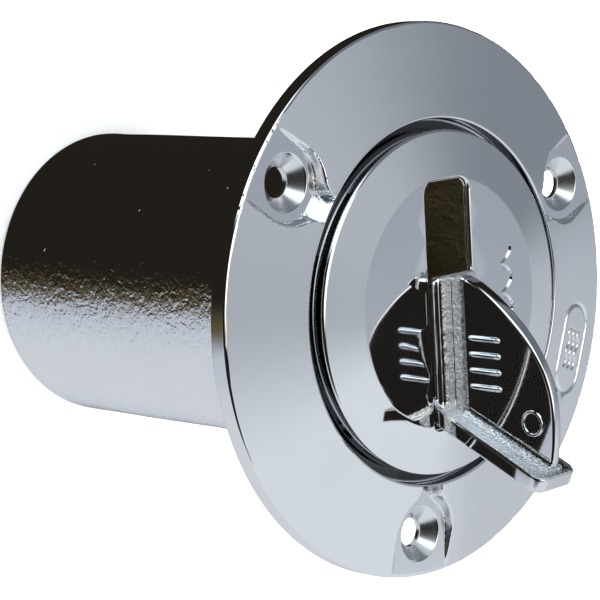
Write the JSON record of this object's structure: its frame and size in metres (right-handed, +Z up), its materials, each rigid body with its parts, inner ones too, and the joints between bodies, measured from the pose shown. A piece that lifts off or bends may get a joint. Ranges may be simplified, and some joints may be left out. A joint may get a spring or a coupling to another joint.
{
  "type": "deck filler with folding-handle screw cap",
  "caption": "Round through-deck filler: coned flange with countersunk fixing pads, straight hose tail, and a slotted screw cap with a flip-up folding handle.",
  "frame": {"origin": "on the turning axis at the open lower end of the hose tail", "axes": "+Z up along the axis, out through the cap; -Y through one of the three fixing holes; the slot's finger end points 6.5 degrees to the left of +Y"},
  "size_m": [0.09, 0.09, 0.1051],
  "materials": {
    "body_chrome": "chrome plated casting, polished face and as-cast hose tail",
    "cap_chrome": "chrome plated, mirror polished",
    "handle_chrome": "chrome plated, polished web, sandy bar face",
    "seal_rubber": "matt black",
    "pin_steel": "drawn"
  },
  "bodies": {
    "filler": {"filler_body": "body_chrome"},
    "seal": {"cap_o_ring": "seal_rubber"},
    "cap": {"filler_cap": "cap_chrome", "hinge_pin": "pin_steel"},
    "handle": {"handle": "handle_chrome"}
  },
  "joints": [
    {"name": "cap_lift", "type": "slide", "parent": "filler", "child": "seal", "axis": [0, 0, 1], "range_m": [0, 0.0091]},
    {"name": "cap_turn", "type": "hinge", "parent": "seal", "child": "cap", "pos_m": [0, 0, 0.0844], "axis": [0, 0, 1], "range_deg": [0, 1080]},
    {"name": "handle_fold", "type": "hinge", "parent": "cap", "child": "handle", "pos_m": [0.00157, -0.01381, 0.0808], "axis": [-0.9936, -0.1132, 0], "range_deg": [0, 114]}
  ],
  "couplings": [
    {"joint": "cap_lift", "follows": "cap_turn", "m_per_rad": 0.00047746}
  ]
}
